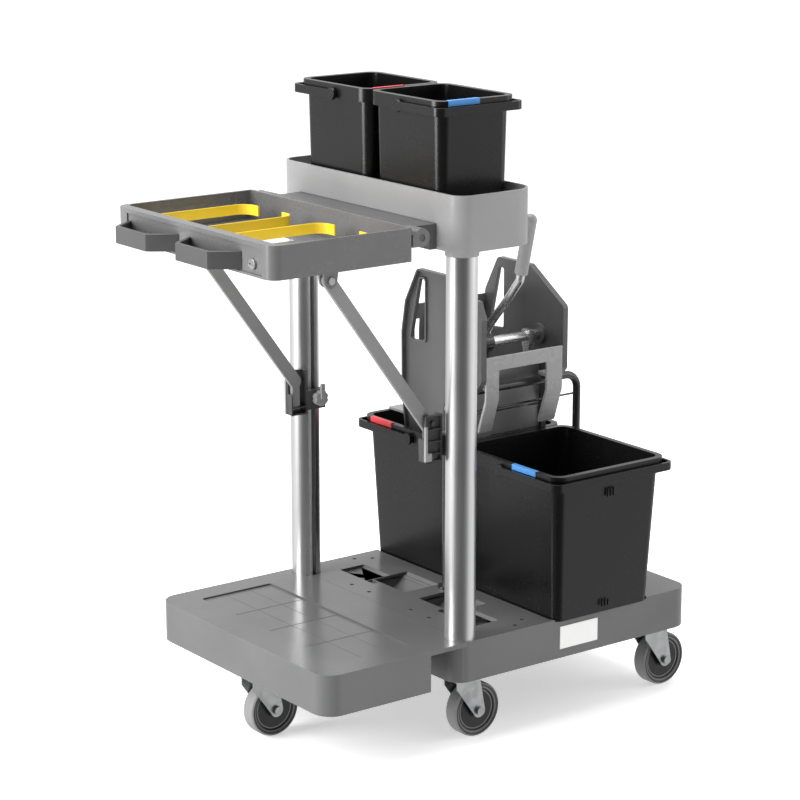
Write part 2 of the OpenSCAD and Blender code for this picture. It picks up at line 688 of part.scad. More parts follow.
module lower_bucket(s) color([0.08, 0.08, 0.08]) centred() scale_y(s)
    bucket(lower_mid, low_l, low_w, low_h, lower_z, low_taper, low_pivot);
module upper_bucket(s) color([0.08, 0.08, 0.08]) centred() scale_y(s)
    bucket(upper_mid, up_l, up_w, up_h, upper_z, up_taper, up_pivot);
module lower_bail(s) color([0.1, 0.1, 0.1]) centred() scale_y(s)
    bail(lower_mid, low_l, low_w, low_h, lower_z, low_pivot);
module upper_bail(s) color([0.1, 0.1, 0.1]) centred() scale_y(s)
    bail(upper_mid, up_l, up_w, up_h, upper_z, up_pivot);

tab_t = 1.4;
tab_l = 66;
tab_h = 9;
tab_lap = 7;
// Clip over the rim on the bag side of a lower bucket
module lower_tab(s, c) color(c) centred() scale_y(s) {
    y = low_w - (s > 0 ? 96 : 122);
    box([lower_x0 - tab_t, y, rim_z - tab_h], [lower_x0, y + tab_l, rim_z + tab_t]);
    box([lower_x0 - tab_t, y, rim_z], [lower_x0 + tab_lap, y + tab_l, rim_z + tab_t]);
}
// Clip on the rim of an upper bucket, at the edge y; the outer one is turned down over the rim
module upper_tab(y, turned, c) color(c) centred() {
    z = upper_z + up_h;
    x = upper_mid - 66;
    if (turned) box([x, y - tab_t, z - tab_h], [x + tab_l, y, z + tab_t]);
    box([x, y - (turned ? tab_t : 0), z], [x + tab_l, y + tab_lap, z + tab_t]);
}

// ---- wringer ----

// Cheek with a hand slot, a turned edge and a bush for the shaft; s faces the edge outwards
module cheek(x0, s) color("dimgray") centred() {
    outline = soft(cheek_points, 10);
    xf = s > 0 ? x0 : x0 + cheek_t - cheek_flange;
    difference() {
        union() {
            across(x0, cheek_t) polygon(outline);
            across(xf, cheek_flange) difference() {
                polygon(outline);
                polygon(soft(inset(cheek_points, 4), 6));
            }
            across(s > 0 ? x0 : x0 + cheek_t - 8, 8) difference() {
                polygon(soft(inset(cheek_slot, -4), 7));
                polygon(soft(cheek_slot, 5));
            }
            rod_x(shaft_y, shaft_z, x0 - (s > 0 ? 6 : 0), x0 + cheek_t + (s > 0 ? 0 : 6), 20);
        }
        across(x0 - 20, 50) polygon(soft(cheek_slot, 5));
        rod_x(shaft_y, shaft_z, x0 - 20, x0 + 40, shaft_d / 2 + pin_fit);
        // notch that drops over the stand's tube
        box([x0 - 20, -stand_d / 2 - slip, basket_z], [x0 + 30, stand_d / 2 + slip, stand_top]);
    }
}
module wringer_cheek_front() cheek(wringer_x0, -1);
module wringer_cheek_rear() cheek(wringer_x1 - cheek_t, 1);

front_x0 = wringer_x0 + cheek_t;
front_x1 = wringer_x1 - cheek_t;
arch_x0 = wringer_x0 + 34;
arch_x1 = wringer_x1 - 42;
// Arched front whose two legs curve in towards the stand
module wringer_front() color("darkgray") centred() {
    t = 5;
    legs = [[front_y, arch_z + 4], [front_y, arch_z - 55], [-17, arch_z - 119], [-12.5, arch_z - 119],
        [-12.5, arch_z - 111], [front_y + t, arch_z - 53], [front_y + t, arch_z + 4]];
    box([front_x0, front_y, arch_z], [front_x1, front_y + t, arch_z + 26]);
    across(front_x0, arch_x0 - front_x0) polygon(legs);
    across(arch_x1, front_x1 - arch_x1) polygon(legs);
    for (x = [front_x0, front_x1 - 6])
        box([x, front_y + t - e, arch_z - 3], [x + 6, front_y + 14, arch_z + 23]);
    // saddle that rests on the stand's tube
    for (x = [front_x0 + 2, front_x1 - 22])
        box([x, front_y + t - e, stand_top], [x + 20, stand_d / 2, stand_top + 8]);
}

// Strainer: a slatted back wall and floor between the cheeks
module wringer_basket() color("darkgray") centred() {
    x0 = front_x0;
    x1 = front_x1;
    difference() {
        across(x0, x1 - x0) polygon([[24.5, basket_z + 4.3], [24.5, basket_z + 8], [180, basket_z + 8],
            [196, rim_z + 54], [199, shaft_z], [192, shaft_z + 50], [196, shaft_z + 50], [200.7, shaft_z],
            [199.7, rim_z + 54], [182.5, basket_z + 4.3]]);
        for (k = [0:5]) let (x = x0 + 16 + k * (x1 - x0 - 19) / 6) {
            box([x, 34, basket_z], [x + 10, 172, basket_z + 20]);
            box([x, 170, basket_z + 36], [x + 10, 220, shaft_z + 20]);
        }
    }
    // hooks that rest on the bucket's outer rim
    z = rim_z + seat;
    for (x = [x0 + 20, x1 - 50]) box([x, 196, z], [x + 30, rim_gap + low_w - 3, z + 5]);
}

module wringer_shaft() color("silver") centred() {
    rod_x(shaft_y, shaft_z, wringer_x0 - 4, wringer_x1 + 4, shaft_d / 2);
    for (x = [wringer_x0 + 26, wringer_x1 - 38]) difference() {
        across(x, 10) translate([shaft_y, shaft_z])
            polygon(soft([[-12, 12], [-12, -12], [-6, -34], [6, -34], [12, -12], [12, 12]], 4));
        rod_x(shaft_y, shaft_z, x - e, x + 11, shaft_d / 2 - 2);
    }
}

module lever_hub() color("black") centred() difference() {
    union() {
        rod_x(shaft_y, shaft_z, lever_x - 14, lever_x + 14, 17);
        across(lever_x - 11, 22) translate([shaft_y, shaft_z])
            polygon([[-12, 8], [16, 8], [40, 40], [40, 74], [18, 74], [-10, 18]]);
        rod_x(shaft_y + 29, shaft_z + 60, lever_x - 16, lever_x + 16, 6);
    }
    rod_x(shaft_y, shaft_z, lever_x - 20, lever_x + 20, shaft_d / 2 + 0.02);
    rise = lever_path[1] - lever_path[0];
    translate([lever_x, lever_path[0][0], lever_path[0][1]]) rotate([atan2(-rise[0], rise[1]), 0, 0])
        cylinder(r = lever_r + 0.02, h = 60);
}

module lever_tube() color("silver") centred()
    bent_tube(lever_x, concat(curve([for (i = [0:2]) lever_path[i]]),
        [for (d = [-14, -7, 0, 11]) lever_path[3] + grip_dir * d]), lever_r);

module lever_grip() color("gray") centred() {
    p = lever_path[3];
    translate([lever_x, p[0], p[1]]) rotate([atan2(-grip_dir[0], grip_dir[1]), 0, 0]) {
        difference() {
            cylinder(r = lever_r + 4, h = grip_l);
            translate([0, 0, -e]) cylinder(r = lever_r + 0.3, h = 12);
        }
        translate([0, 0, grip_l]) sphere(r = lever_r + 4);
    }
}

// Slatted plate that the shaft pushes across the basket
module press_plate() color("darkgray") centred() {
    x0 = front_x0 + 0.3;
    x1 = front_x1 - 0.3;
    for (k = [0:3]) let (z = basket_z + 12 + 46 * k) box([x0, press_y, z], [x1, press_y + 4, z + 42]);
    for (x = [x0 + 24, x1 - 36]) box([x, press_y + 3, basket_z + 12], [x + 12, press_y + 12, basket_z + 192]);
}

// Bent tube stand that straddles the buckets between its two legs
module wringer_stand() color("black") centred() {
    r = stand_d / 2;
    b = stand_bend;
    x0 = stand_x0;
    x1 = stand_x1;
    for (x = [x0, x1]) {
        translate([x, 0, base_top + seat]) cylinder(r = r, h = stand_z - b - base_top - seat);
        translate([x, 0, base_top + seat]) cylinder(r = 16, h = 4);
    }
    rod_x(0, stand_z, x0 + b, x1 - b, r);
    translate([x0 + b, 0, stand_z - b]) rotate([90, 0, 0]) rotate([0, 0, 90]) bend(b, r);
    translate([x1 - b, 0, stand_z - b]) rotate([90, 0, 0]) bend(b, r);
    rod_x(0, rod_z, x0, x1, 2);
}

// Quarter bend of a tube of radius r, of radius b at its middle
module bend(b, r) rotate_extrude(angle = 90) translate([b, 0]) circle(r = r);

chassis();
platform();
label_plate();
post(1);  // post_left
post(-1);  // post_right
shelf();
hinge_housing();
hinge_pin();
bag_frame();
bag_handles();
lock_cylinder();
bag_clamp(0);  // bag_clamp_1
bag_clamp(1);  // bag_clamp_2
bag_clamp(2);  // bag_clamp_3
bag_clamp(3);  // bag_clamp_4
strut(1);  // strut_left
strut(-1);  // strut_right
strut_pins();
bracket(1);  // bracket_left
bracket(-1);  // bracket_right
knob(1);  // knob_left
knob(-1);  // knob_right
lower_bucket(1);  // lower_bucket_left
lower_bucket(-1);  // lower_bucket_right
upper_bucket(1);  // upper_bucket_left
upper_bucket(-1);  // upper_bucket_right
lower_bail(1);  // lower_bail_left
lower_bail(-1);  // lower_bail_right
upper_bail(1);  // upper_bail_left
upper_bail(-1);  // upper_bail_right
lower_tab(1, "red");  // lower_tab_left
lower_tab(-1, "royalblue");  // lower_tab_right
upper_tab(rim_gap, false, "red");  // upper_tab_left
upper_tab(-rim_gap - up_w, true, "royalblue");  // upper_tab_right
wringer_cheek_front();
wringer_cheek_rear();
wringer_front();
wringer_basket();
wringer_shaft();
lever_tube();
lever_hub();
lever_grip();
press_plate();
wringer_stand();
castor_plates();
fork(0);  // fork_1
fork(1);  // fork_2
fork(2);  // fork_3
fork(3);  // fork_4
fork(4);  // fork_5
hub(0);  // hub_1
hub(1);  // hub_2
hub(2);  // hub_3
hub(3);  // hub_4
hub(4);  // hub_5
tyre(0);  // tyre_1
tyre(1);  // tyre_2
tyre(2);  // tyre_3
tyre(3);  // tyre_4
tyre(4);  // tyre_5
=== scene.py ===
"""A housekeeping cart: finishes, fine pieces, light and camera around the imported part."""
import bpy
import bmesh
import math
from mathutils import Matrix, Vector


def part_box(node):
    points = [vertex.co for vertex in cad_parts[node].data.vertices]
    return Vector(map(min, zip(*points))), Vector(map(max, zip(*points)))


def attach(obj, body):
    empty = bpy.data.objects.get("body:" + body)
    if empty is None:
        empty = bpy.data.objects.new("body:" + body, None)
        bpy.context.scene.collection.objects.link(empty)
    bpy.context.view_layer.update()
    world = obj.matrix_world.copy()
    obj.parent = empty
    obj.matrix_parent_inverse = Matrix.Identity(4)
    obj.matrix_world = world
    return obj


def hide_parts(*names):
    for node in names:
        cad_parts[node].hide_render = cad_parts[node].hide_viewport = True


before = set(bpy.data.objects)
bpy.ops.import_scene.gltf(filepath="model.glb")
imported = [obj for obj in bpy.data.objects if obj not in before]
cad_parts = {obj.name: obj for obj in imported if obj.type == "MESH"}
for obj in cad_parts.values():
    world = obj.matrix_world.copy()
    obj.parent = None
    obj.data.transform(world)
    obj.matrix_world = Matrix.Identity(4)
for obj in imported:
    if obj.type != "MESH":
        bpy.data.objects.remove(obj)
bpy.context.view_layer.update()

SIDES = ("left", "right")
PLASTIC_IOR = 1.47
RING_BLUR = 0.0004

# Corners nearer than this many metres are joined before edges are rounded, and the angles
# between two faces from which their edge is rounded, shaded as a crease, or smoothed away
CORNER_JOIN = 0.00002
EDGE_ANGLE = math.radians(32.0)
CREASE_ANGLE = math.radians(36.0)
FLAT_ANGLE = math.radians(0.6)

# The platform's sunk floor: its depth, its ends from the platform's outer end, and its bead lines
FLOOR_DROP = 0.003
FLOOR_ENDS = (0.062, 0.215)
FLOOR_HALF_WIDTH = 0.208
BEAD_LINES_ALONG = (-0.108, 0.0, 0.108)
BEAD_LINES_ACROSS = (0.052, 0.104)
BEAD_HALF = 0.0009

# Tool pockets: start and end from the chassis's near end, then near and far from the middle
POCKETS = ((0.087, 0.143, 0.122, 0.204), (0.103, 0.183, 0.022, 0.118))
POCKET_DEPTH = 0.040
POCKET_WALL = 0.0022
POCKET_FLAT = 0.30

# Strut holder: height, wall, and how far its rim stands out past its back plate
HOLDER_HEIGHT = 0.082
HOLDER_WALL = 0.0022
HOLDER_RIM = 0.0085
HOLDER_ROUND = 0.010

# The room: the side that is dim, and how bright the rest and that side are
DIM_SIDE = (-0.60, -0.80, 0.0)
ROOM_GLOW = 0.80
DIM_GLOW = 0.10


# ---------------------------------------------------------------- shader expressions

class Wire:
    """A shader output that plain arithmetic can be done with."""

    def __init__(self, finish, socket):
        self.finish = finish
        self.socket = socket

    def also(self, output):
        """Another output of the same node."""
        return Wire(self.finish, self.socket.node.outputs[output])

    def worked(self, operation, *values):
        return self.finish.node("ShaderNodeMath", {"operation": operation},
                                dict(enumerate(values)))

    def __add__(self, other):
        return self.worked("ADD", self, other)

    def __radd__(self, other):
        return self.worked("ADD", other, self)

    def __sub__(self, other):
        return self.worked("SUBTRACT", self, other)

    def __rsub__(self, other):
        return self.worked("SUBTRACT", other, self)

    def __mul__(self, other):
        return self.worked("MULTIPLY", self, other)

    def __rmul__(self, other):
        return self.worked("MULTIPLY", other, self)

    def eased(self, low, high):
        """0 below low, 1 above high, smooth in between."""
        return self.finish.node("ShaderNodeMapRange", {"interpolation_type": "SMOOTHSTEP"},
                                {"Value": self, "From Min": low, "From Max": high})


class Finish:
    """One material and the nodes it is made of."""

    def __init__(self, name):
        self.material = bpy.data.materials.new(name)
        self.material.use_nodes = True
        self.tree = self.material.node_tree
        self.tree.nodes.clear()

    @classmethod
    def on(cls, tree):
        """The same tools on a node tree that is there already, such as the room's."""
        made = cls.__new__(cls)
        made.tree = tree
        tree.nodes.clear()
        return made

    def node(self, kind, settings=None, sockets=None, output=0):
        made = self.tree.nodes.new(kind)
        for key, value in (settings or {}).items():
            setattr(made, key, value)
        for key, value in (sockets or {}).items():
            if isinstance(value, Wire):
                self.tree.links.new(value.socket, made.inputs[key])
            else:
                made.inputs[key].default_value = value
        return Wire(self, made.outputs[output]) if made.outputs else None

    def place(self):
        return self.node("ShaderNodeTexCoord", output="Object")

    def stretched(self, place, scale):
        return self.node("ShaderNodeVectorMath", {"operation": "MULTIPLY"}, {0: place, 1: scale})

    def noise(self, place, scale, detail=2.0, roughness=0.5):
        return self.node("ShaderNodeTexNoise", None,
                         {"Vector": place, "Scale": scale, "Detail": detail,
                          "Roughness": roughness})

    def blend(self, factor, first, second):
        """Mixes two colours."""
        colours = {key: value if isinstance(value, Wire) else (*value, 1.0)
                   for key, value in ((6, first), (7, second))}
        mixed = self.node("ShaderNodeMix", {"data_type": "RGBA"}, {0: factor, **colours})
        return mixed.also(2)

    def bump(self, height, distance, strength=1.0):
        return self.node("ShaderNodeBump", None,
                         {"Height": height, "Distance": distance, "Strength": strength})

    def surface(self, **sockets):
        """The closing shader. Socket names are given with underscores for spaces."""
        named = {key.replace("_", " "): value for key, value in sockets.items()}
        named = {key: (*value, 1.0) if isinstance(value, tuple) and len(value) == 3 else value
                 for key, value in named.items()}
        shader = self.node("ShaderNodeBsdfPrincipled", None, named)
        self.node("ShaderNodeOutputMaterial", None, {"Surface": shader})
        return self.material


def shade(colour, amount):
    return tuple(min(1.0, part * amount) for part in colour)


# ---------------------------------------------------------------- finishes

def moulded(name, colour, roughness, grain=0.00012, grain_scale=1400.0,
             clouding=0.07):
    """Injection-moulded plastic: faint clouding, a spark-eroded grain and rubbed patches."""
    f = Finish(name)
    place = f.place()
    cloud = f.noise(place, 5.0, 3.0)
    streaks = f.noise(f.stretched(place, (7.0, 7.0, 30.0)), 1.0, 2.0)
    rubbed = f.noise(place, 55.0, 5.0, 0.6).eased(0.45, 0.85)
    grainy = f.noise(place, grain_scale, 2.0)
    tone = f.blend(cloud.eased(0.3, 0.7),
                   shade(colour, 1.0 - clouding), shade(colour, 1.0 + clouding))
    worn = f.blend(rubbed * 0.10, tone, shade(colour, 1.35))
    rough = roughness + (cloud - 0.5) * 0.08 + (streaks - 0.5) * 0.06 - rubbed * 0.03
    return f.surface(Base_Color=worn, Roughness=rough, IOR=PLASTIC_IOR,
                     Normal=f.bump(grainy, grain))


def painted_steel(name, colour, roughness):
    """Gloss black powder coat with its fine orange peel."""
    f = Finish(name)
    place = f.place()
    peel = f.noise(place, 420.0, 2.0)
    dust = f.noise(place, 30.0, 4.0).eased(0.5, 0.8)
    tone = f.blend(dust * 0.35, colour, shade(colour, 2.2))
    return f.surface(Base_Color=tone, Roughness=roughness + dust * 0.08, Coat_Weight=0.4,
                     Coat_Roughness=0.12, Normal=f.bump(peel, 0.00010))


def drawn_metal(name, colour, roughness, lines, depth):
    """Bare metal with fine lines along its length; lines stretches the noise to suit."""
    f = Finish(name)
    place = f.place()
    line = f.noise(f.stretched(place, lines), 1.0, 3.0, 0.6)
    cloud = f.noise(place, 14.0, 2.0)
    tone = f.blend(line.eased(0.3, 0.7), shade(colour, 0.93), shade(colour, 1.05))
    rough = roughness + (line - 0.5) * 0.14 + (cloud - 0.5) * 0.06
    return f.surface(Base_Color=tone, Metallic=1.0, Roughness=rough,
                     Normal=f.bump(line, depth))


def plated(name, colour, roughness):
    """Zinc plating: a faint spangle and a duller bloom in patches."""
    f = Finish(name)
    place = f.place()
    spangle = f.node("ShaderNodeTexVoronoi", None, {"Vector": place, "Scale": 260.0})
    bloom = f.noise(place, 45.0, 4.0)
    tone = f.blend(bloom.eased(0.35, 0.7), shade(colour, 1.06), shade(colour, 0.8))
    rough = roughness + spangle * 0.12 + (bloom - 0.5) * 0.16
    return f.surface(Base_Color=tone, Metallic=1.0, Roughness=rough,
                     Normal=f.bump(f.noise(place, 600.0), 0.00004))


def wheel_finish(name, centre, bands, roughness):
    """Rings of colour about an axle along Y: bands are (radius, colour) from the middle out."""
    f = Finish(name)
    place = f.place()
    offset = f.node("ShaderNodeVectorMath", {"operation": "SUBTRACT"}, {0: place, 1: centre})
    radial = f.stretched(offset, (1.0, 0.0, 1.0))
    radius = f.node("ShaderNodeVectorMath", {"operation": "LENGTH"}, {0: radial}, "Value")
    dust = f.noise(place, 80.0, 4.0).eased(0.45, 0.8)
    tone = bands[0][1]
    for edge, colour in bands[1:]:
        tone = f.blend(radius.eased(edge - RING_BLUR, edge + RING_BLUR), tone, colour)
    dusty = f.blend(dust * 0.05, tone, (0.30, 0.30, 0.29))
    return f.surface(Base_Color=dusty, Roughness=roughness + dust * 0.12,
                     Normal=f.bump(f.noise(place, 900.0), 0.00010))


base_plastic = moulded("base moulding", (0.118, 0.118, 0.119), 0.19, 0.00005)
frame_plastic = moulded("frame moulding", (0.130, 0.130, 0.131), 0.28)
shelf_plastic = moulded("shelf moulding", (0.26, 0.26, 0.261), 0.30)
hinge_plastic = moulded("hinge moulding", (0.085, 0.085, 0.086), 0.34)
handle_plastic = moulded("handle moulding", (0.062, 0.062, 0.063), 0.34)
bracket_plastic = moulded("bracket moulding", (0.050, 0.050, 0.051), 0.34)
bucket_plastic = moulded("bucket black", (0.0045, 0.0045, 0.0047), 0.27, 0.00008, 900.0, 0.12)
wringer_plastic = moulded("wringer dark grey", (0.090, 0.090, 0.091), 0.22)
wringer_light = moulded("wringer light grey", (0.34, 0.34, 0.341), 0.27)
strainer_plastic = moulded("strainer grey", (0.22, 0.22, 0.221), 0.24)
strut_plastic = moulded("strut moulding", (0.200, 0.200, 0.201), 0.36)
knob_plastic = moulded("knob moulding", (0.26, 0.26, 0.26), 0.36)
aluminium = drawn_metal("anodised aluminium", (0.80, 0.80, 0.805), 0.33,
                        (900.0, 900.0, 5.0), 0.00003)
zinc = plated("zinc plate", (0.50, 0.505, 0.51), 0.26)
chrome = drawn_metal("bright steel", (0.82, 0.82, 0.825), 0.27, (200.0, 200.0, 200.0), 0.00001)
black_steel = painted_steel("black tube", (0.025, 0.025, 0.026), 0.22)
yellow_plastic = moulded("clamp yellow", (0.79, 0.54, 0.018), 0.38, 0.00008, 900.0, 0.05)
red_plastic = moulded("tab red", (0.62, 0.035, 0.045), 0.36, 0.00008, 900.0, 0.05)
blue_plastic = moulded("tab blue", (0.055, 0.25, 0.60), 0.36, 0.00008, 900.0, 0.05)
label_film = moulded("blank label", (0.78, 0.78, 0.77), 0.42, 0.00003, 300.0, 0.02)


# ---------------------------------------------------------------- carried-over nodes

def soften(piece, width):
    """Rounds a piece's sharp edges and shades its curves smooth."""
    weld = piece.modifiers.new("join corners", "WELD")
    weld.merge_threshold = CORNER_JOIN
    flat = piece.modifiers.new("whole faces", "DECIMATE")
    flat.decimate_type = "DISSOLVE"
    flat.angle_limit = FLAT_ANGLE
    if width:
        rounded = piece.modifiers.new("rounded edges", "BEVEL")
        rounded.width = width
        rounded.segments = 3
        rounded.limit_method = "ANGLE"
        rounded.angle_limit = EDGE_ANGLE
        rounded.use_clamp_overlap = True
    split = piece.modifiers.new("crisp edges", "EDGE_SPLIT")
    split.split_angle = CREASE_ANGLE
    even = piece.modifiers.new("even shading", "WEIGHTED_NORMAL")
    even.keep_sharp = True
    even.weight = 100
    for face in piece.data.polygons:
        face.use_smooth = True


def dress(node, finish, width):
    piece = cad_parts[node]
    if not piece.material_slots:
        piece.data.materials.append(finish)
    for slot in piece.material_slots:
        slot.link = "OBJECT"
        slot.material = finish
    soften(piece, width)


for node, finish, width in (
        ("platform", base_plastic, 0.0016),
        ("label_plate", label_film, 0.0002), ("castor_plates", zinc, 0.0004),
        ("shelf", shelf_plastic, 0.0012), ("hinge_housing", hinge_plastic, 0.0010),
        ("hinge_pin", hinge_plastic, 0.0004), ("bag_frame", frame_plastic, 0.0012),
        ("bag_handles", handle_plastic, 0.0012), ("lock_cylinder", zinc, 0.0003),
        ("strut_pins", zinc, 0.0003), ("wringer_cheek_front", wringer_plastic, 0.0008),
        ("wringer_cheek_rear", wringer_plastic, 0.0008), ("wringer_front", wringer_light, 0.0010),
        ("wringer_basket", strainer_plastic, 0.0006), ("wringer_shaft", chrome, 0.0004),
        ("lever_tube", chrome, 0.0003), ("lever_hub", black_steel, 0.0008),
        ("lever_grip", knob_plastic, 0.0008), ("press_plate", strainer_plastic, 0.0006),
        ("wringer_stand", black_steel, 0.0)):
    dress(node, finish, width)
for side in SIDES:
    dress(f"post_{side}", aluminium, 0.0004)
    dress(f"strut_{side}", strut_plastic, 0.0016)
    dress(f"knob_{side}", knob_plastic, 0.0008)
    for size in ("lower", "upper"):
        dress(f"{size}_bucket_{side}", bucket_plastic, 0.0010)
        dress(f"{size}_bail_{side}", bucket_plastic, 0.0006)
        dress(f"{size}_tab_{side}", red_plastic if side == "left" else blue_plastic, 0.0008)
for number in range(1, 5):
    dress(f"bag_clamp_{number}", yellow_plastic, 0.0006)
for number in range(1, 6):
    dress(f"fork_{number}", zinc, 0.0004)
    low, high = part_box(f"tyre_{number}")
    middle = tuple((low + high) / 2)
    reach = (high.z - low.z) / 2
    dress(f"hub_{number}", wheel_finish(f"hub {number}", middle, (
        (0.0, (0.008, 0.008, 0.009)), (reach * 0.69, (0.16, 0.16, 0.16)),
        (reach * 0.73, (0.008, 0.008, 0.009))), 0.30), 0.0006)
    dress(f"tyre_{number}", wheel_finish(f"tyre {number}", middle, (
        (0.0, (0.035, 0.035, 0.036)), (reach * 0.80, (0.17, 0.17, 0.17)),
        (reach * 0.85, (0.045, 0.045, 0.046)), (reach * 0.93, (0.21, 0.21, 0.21))), 0.52), 0.0012)


# ---------------------------------------------------------------- fine pieces

def piece_from(name, grown, finish):
    """A scene object from a bmesh, in one finish."""
    mesh = bpy.data.meshes.new(name)
    grown.normal_update()
    grown.to_mesh(mesh)
    grown.free()
    mesh.materials.append(finish)
    piece = bpy.data.objects.new(name, mesh)
    bpy.context.scene.collection.objects.link(piece)
    return piece


def block(grown, low, high):
    """Adds a box between two corners."""
    low, high = Vector(low), Vector(high)
    middle, size = (low + high) / 2, high - low
    bmesh.ops.create_cube(grown, size=1.0,
                          matrix=Matrix.Translation(middle) @ Matrix.Diagonal((*size, 1.0)))


def drum(grown, centre, along, radius, length, sides=32):
    """Adds a short round bar centred on a point."""
    turn = Vector((0, 0, 1)).rotation_difference(Vector(along)).to_matrix().to_4x4()
    bmesh.ops.create_cone(grown, cap_ends=True, segments=sides, radius1=radius, radius2=radius,
                          depth=length, matrix=Matrix.Translation(centre) @ turn)


def settle(piece):
    """Applies a piece's modifiers to its own mesh."""
    shown = piece.evaluated_get(bpy.context.evaluated_depsgraph_get())
    mesh = bpy.data.meshes.new_from_object(shown)
    piece.modifiers.clear()
    piece.data = mesh


def carved_copy(node, name, cutter, finish):
    """A copy of a CAD node with the cutter taken out of it."""
    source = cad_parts[node]
    piece = bpy.data.objects.new(name, source.data.copy())
    bpy.context.scene.collection.objects.link(piece)
    piece.data.materials.clear()
    piece.data.materials.append(finish)
    weld = piece.modifiers.new("join corners", "WELD")
    weld.merge_threshold = CORNER_JOIN
    cut = piece.modifiers.new("pockets", "BOOLEAN")
    cut.operation = "DIFFERENCE"
    cut.solver = "EXACT"
    cut.object = cutter
    settle(piece)
    bpy.data.objects.remove(cutter)
    return piece


def tool_pockets():
    """The chassis with its four wedge-shaped tool pockets at full depth."""
    low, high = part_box("chassis")
    top = high.z
    cutter = bmesh.new()
    lining = bmesh.new()
    for sign in (-1, 1):
        for start, end, near, far in POCKETS:
            profile = ((low.x + start, top), (low.x + end, top),
                       (low.x + start + POCKET_FLAT * (end - start), top - POCKET_DEPTH),
                       (low.x + start, top - POCKET_DEPTH))
            for grown, lift in ((cutter, 0.002), (lining, -0.0002)):
                rings = []
                for y in (sign * near, sign * far):
                    rings.append([grown.verts.new((x, y, z + lift if z == top else z))
                                  for x, z in profile])
                count = len(profile)
                for k in range(count):
                    if grown is lining and k == 0:
                        continue
                    grown.faces.new((rings[0][k], rings[0][(k + 1) % count],
                                     rings[1][(k + 1) % count], rings[1][k]))
                grown.faces.new(rings[0])
                grown.faces.new(rings[1])
    bmesh.ops.recalc_face_normals(cutter, faces=cutter.faces)
    bmesh.ops.recalc_face_normals(lining, faces=lining.faces)
    chassis = carved_copy("chassis", "chassis_moulding",
                          piece_from("pocket cutter", cutter, base_plastic), base_plastic)
    soften(chassis, 0.0010)
    liner = piece_from("pocket_linings", lining, base_plastic)
    shell = liner.modifiers.new("wall", "SOLIDIFY")
    shell.thickness = POCKET_WALL
    shell.offset = 1.0
    shell.use_even_offset = True
    soften(liner, 0.0004)
    for piece in (chassis, liner):
        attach(piece, "root")
    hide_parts("chassis")


def strut_holder(side):
    """The pocketed holder at a strut's foot and the clamp block that slides on the post."""
    sign = 1 if side == "left" else -1
    low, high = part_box(f"bracket_{side}")
    strut_low, strut_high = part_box(f"strut_{side}")
    inner = min(abs(low.y), abs(high.y))
    face = max(abs(strut_low.y), abs(strut_high.y)) + 0.0006
    x0, x1 = low.x, strut_high.x + HOLDER_ROUND
    z0, z1 = low.z, low.z + HOLDER_HEIGHT
    grown = bmesh.new()

    def add(xa, ya, za, xb, yb, zb):
        block(grown, (xa, min(sign * ya, sign * yb), za), (xb, max(sign * ya, sign * yb), zb))

    add(x0, face, z0, x1, face + 0.0024, z1)
    rim = face + HOLDER_RIM
    add(x0, inner, z0, x0 + HOLDER_WALL, rim, z0 + 0.040)
    add(x0, face + 0.001, z0, x0 + HOLDER_WALL, rim, z1)
    add(x1 - HOLDER_WALL, inner, z0, x1, rim, z1)
    for level in (0.0, 0.0125):
        add(x0, inner, z0 + level, x1, rim, z0 + level + HOLDER_WALL)
    for level in (0.034, 0.056, 0.0798):
        add(x0, face + 0.001, z0 + level, x1, rim, z0 + level + HOLDER_WALL)
    for level in (0.0075, 0.067):
        drum(grown, ((x0 + x1) / 2, sign * (face + 0.004), z0 + level), (0, 1, 0), 0.0045, 0.006)
    holder = piece_from(f"strut_holder_{side}", grown, bracket_plastic)
    soften(holder, 0.0007)
    grown = bmesh.new()
    add(x0 - 0.0015, rim - 0.004, z0 + 0.002, x0 + 0.0035, rim + 0.0015, z1 - 0.018)
    add(x0 + 0.0025, rim - 0.004, z0 + 0.002, x0 + 0.0125, rim + 0.0015, z0 + 0.016)
    guide = piece_from(f"holder_guide_{side}", grown, knob_plastic)
    soften(guide, 0.0008)
    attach(guide, f"bracket_{side}")

    grown = bmesh.new()
    clamp_z0, clamp_z1 = high.z - 0.042, high.z - 0.006
    block(grown, (x1 - 0.001, min(sign * inner, sign * (face + 0.003)), clamp_z0),
          (high.x, max(sign * inner, sign * (face + 0.003)), clamp_z1))
    outer = max(abs(low.y), abs(high.y))
    centre_x = (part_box(f"post_{side}")[0].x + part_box(f"post_{side}")[1].x) / 2
    block(grown, (centre_x - 0.004, min(sign * face, sign * outer), clamp_z0 + 0.004),
          (centre_x + 0.004, max(sign * face, sign * outer), clamp_z1 - 0.004))
    for step in range(4):
        z = clamp_z0 + 0.006 + step * 0.007
        block(grown, (high.x - 0.0005, min(sign * inner, sign * (inner + 0.012)), z),
              (high.x + 0.0012, max(sign * inner, sign * (inner + 0.012)), z + 0.0035))
    slider = piece_from(f"post_slider_{side}", grown, bracket_plastic)
    soften(slider, 0.0006)
    for piece in (holder, slider):
        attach(piece, f"bracket_{side}")
    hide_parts(f"bracket_{side}")


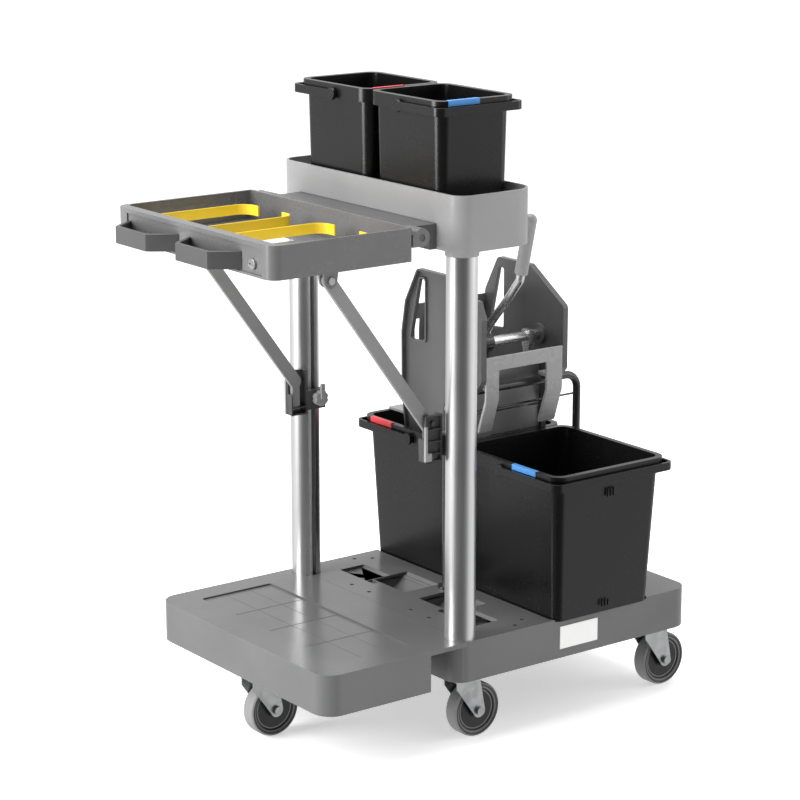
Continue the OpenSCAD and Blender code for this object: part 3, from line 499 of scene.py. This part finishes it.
def bucket_ribs(side):
    """Three short upright ribs under the rim and three near the foot of a large bucket."""
    sign = 1 if side == "left" else -1
    low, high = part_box(f"lower_bucket_{side}")
    middle = (low.x + high.x) / 2
    outer = max(abs(low.y), abs(high.y))
    grown = bmesh.new()
    for z, length, inset in ((high.z - 0.046, 0.016, 0.0068), (low.z + 0.018, 0.012, 0.0158)):
        for step in (-1, 0, 1):
            x = middle + step * 0.007
            y = sign * (outer - inset)
            block(grown, (x - BEAD_HALF, y - 2 * BEAD_HALF, z - length / 2),
                  (x + BEAD_HALF, y + 2 * BEAD_HALF, z + length / 2))
    ribs = piece_from(f"bucket_ribs_{side}", grown, bucket_plastic)
    soften(ribs, 0.0004)
    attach(ribs, f"lower_bucket_{side}")


def floor_beads():
    """Low moulded beads that stiffen the bag platform's sunk floor."""
    low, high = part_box("platform")
    z = high.z - FLOOR_DROP
    x0, x1 = (low.x + end for end in FLOOR_ENDS)
    grown = bmesh.new()
    under, over = z - 0.0004, z + 0.0005
    for y in BEAD_LINES_ALONG:
        block(grown, (x0 + 0.002, y - BEAD_HALF, under), (x1 - 0.002, y + BEAD_HALF, over))
    for x in (x0 + line for line in BEAD_LINES_ACROSS):
        block(grown, (x - BEAD_HALF, -FLOOR_HALF_WIDTH, under),
              (x + BEAD_HALF, FLOOR_HALF_WIDTH, over))
    beads = piece_from("platform_beads", grown, base_plastic)
    soften(beads, 0.0003)
    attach(beads, "root")


tool_pockets()
floor_beads()
for side in SIDES:
    strut_holder(side)
    bucket_ribs(side)


# ---------------------------------------------------------------- floor, light and camera

def pale_floor():
    mesh = bpy.data.meshes.new("floor")
    grown = bmesh.new()
    bmesh.ops.create_grid(grown, x_segments=1, y_segments=1, size=40.0)
    grown.to_mesh(mesh)
    grown.free()
    floor = bpy.data.objects.new("floor", mesh)
    floor.visible_glossy = False
    bpy.context.scene.collection.objects.link(floor)
    f = Finish("pale floor")
    cloud = f.noise(f.place(), 1.5)
    mesh.materials.append(f.surface(
        Base_Color=f.blend(cloud, (0.90, 0.90, 0.90), (0.93, 0.93, 0.93)), Roughness=0.6,
        Emission_Color=(1.0, 1.0, 1.0), Emission_Strength=0.46))


def soft_light(name, at, towards, width, height, power):
    lamp = bpy.data.lights.new(name, "AREA")
    lamp.shape = "RECTANGLE"
    lamp.size = width
    lamp.size_y = height
    lamp.energy = power
    holder = bpy.data.objects.new(name, lamp)
    holder.location = at
    holder.rotation_euler = (Vector(towards) - Vector(at)).to_track_quat("-Z", "Y").to_euler()
    bpy.context.scene.collection.objects.link(holder)


def room_light():
    """A white room with one dim side, which gives rounded corners their dark line."""
    world = bpy.data.worlds.new("studio")
    world.use_nodes = True
    room = Finish.on(world.node_tree)
    way = room.node("ShaderNodeTexCoord", output="Generated")
    facing = room.node("ShaderNodeVectorMath", {"operation": "DOT_PRODUCT"},
                       {0: way, 1: DIM_SIDE}, "Value")
    dim = facing.eased(0.22, 0.86)
    glow = room.node("ShaderNodeBackground", None,
                     {"Color": (1.0, 1.0, 1.0, 1.0),
                      "Strength": ROOM_GLOW - dim * (ROOM_GLOW - DIM_GLOW)})
    room.node("ShaderNodeOutputWorld", None, {"Surface": glow})
    bpy.context.scene.world = world


def studio():
    pale_floor()
    middle = (0.0, 0.0, 0.55)
    soft_light("left softbox", (-3.4, 0.8, 1.7), middle, 1.8, 2.8, 165.0)
    soft_light("top softbox", (-0.2, 0.6, 3.8), middle, 3.6, 3.6, 170.0)
    soft_light("right strip", (2.6, -1.8, 1.7), middle, 0.9, 2.8, 16.0)
    room_light()
    bpy.context.scene.view_settings.view_transform = "Standard"


def camera():
    lens = bpy.data.cameras.new("camera")
    lens.lens = 117.8
    lens.sensor_width = 36.0
    holder = bpy.data.objects.new("camera", lens)
    post_low, post_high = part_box("post_right")
    post_x = (post_low.x + post_high.x) / 2
    holder.location = (post_x - 2.684, -3.648, 1.714)
    holder.rotation_euler = (math.radians(75.9), 0.0, math.radians(-36.8))
    bpy.context.scene.collection.objects.link(holder)
    bpy.context.scene.camera = holder


studio()
camera()
